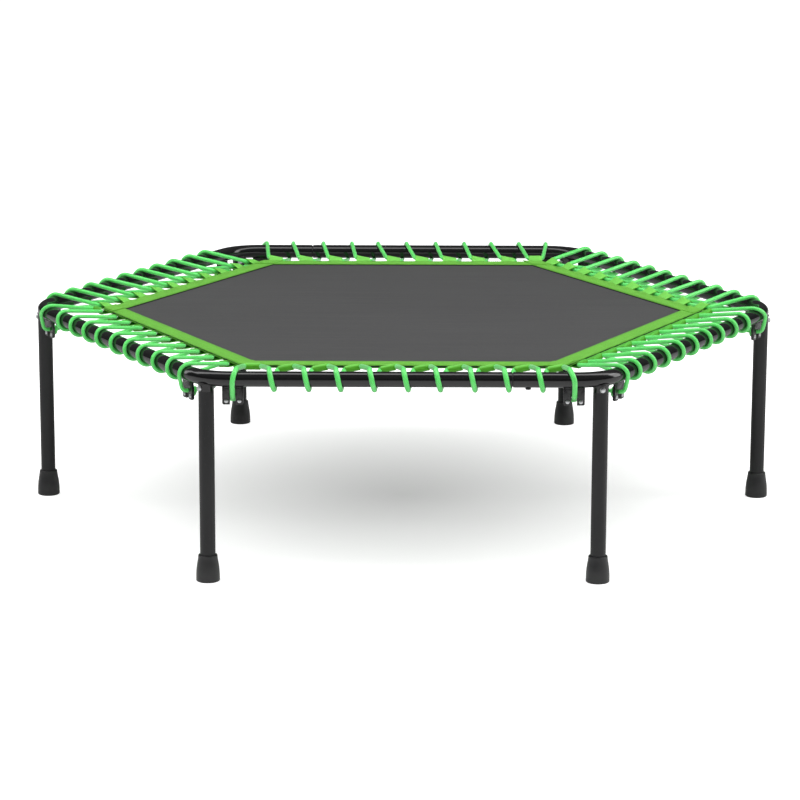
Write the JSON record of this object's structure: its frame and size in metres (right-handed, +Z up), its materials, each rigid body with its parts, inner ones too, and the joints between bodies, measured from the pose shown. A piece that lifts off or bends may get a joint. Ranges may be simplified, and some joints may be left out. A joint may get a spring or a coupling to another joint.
{
  "type": "trampoline",
  "caption": "Hexagonal fitness trampoline: black tube frame on straight legs with rubber feet, dark woven mat with a green border, hung on laced green bungee cords",
  "frame": {"origin": "on the floor, under the middle of the mat", "axes": "+X to the right corner, +Y to the back side, +Z up"},
  "size_m": [1.2934, 1.152, 0.3565],
  "materials": {
    "frame_paint": "gloss",
    "leg_paint": "satin",
    "bracket_paint": "gloss",
    "sleeve_steel": "satin",
    "bright_steel": "bright",
    "black_screws": "satin",
    "foot_rubber": "matte",
    "cord_green": "satin woven sheath",
    "webbing_green": "woven",
    "mat_weave": "matte woven"
  },
  "bodies": {
    "frame": {"frame_right": "frame_paint", "frame_left": "frame_paint", "joint_sleeves": "sleeve_steel", "joint_screws": "black_screws", "leg_sockets": "leg_paint", "leg_front_right": "leg_paint", "leg_right": "leg_paint", "leg_back_right": "leg_paint", "leg_back_left": "leg_paint", "leg_left": "leg_paint", "leg_front_left": "leg_paint", "foot_front_right": "foot_rubber", "foot_right": "foot_rubber", "foot_back_right": "foot_rubber", "foot_back_left": "foot_rubber", "foot_left": "foot_rubber", "foot_front_left": "foot_rubber", "leg_bolts": "bright_steel", "leg_nuts": "bright_steel", "cord_brackets_front": "bracket_paint", "cord_brackets_front_right": "bracket_paint", "cord_brackets_back_right": "bracket_paint", "cord_brackets_back": "bracket_paint", "cord_brackets_back_left": "bracket_paint", "cord_brackets_front_left": "bracket_paint", "bracket_keepers": "bracket_paint", "bracket_rivets": "bright_steel", "bungee_cord_front": "cord_green", "bungee_cord_front_right": "cord_green", "bungee_cord_back_right": "cord_green", "bungee_cord_back": "cord_green", "bungee_cord_back_left": "cord_green", "bungee_cord_front_left": "cord_green", "cord_knots": "cord_green"},
    "mat": {"mat_fabric": "mat_weave", "border_front": "webbing_green", "border_front_right": "webbing_green", "border_back_right": "webbing_green", "border_back": "webbing_green", "border_back_left": "webbing_green", "border_front_left": "webbing_green", "border_underside": "webbing_green", "mat_loops_front": "webbing_green", "mat_loops_front_right": "webbing_green", "mat_loops_back_right": "webbing_green", "mat_loops_back": "webbing_green", "mat_loops_back_left": "webbing_green", "mat_loops_front_left": "webbing_green"}
  },
  "joints": [
    {"name": "mat_bounce", "type": "slide", "parent": "frame", "child": "mat", "axis": [0, 0, 1], "range_m": [-0.15, 0.02], "stiffness_N_per_m": 8000, "springref_m": 0.00053, "deforming": ["bungee_cord_front", "bungee_cord_front_right", "bungee_cord_back_right", "bungee_cord_back", "bungee_cord_back_left", "bungee_cord_front_left"]}
  ]
}
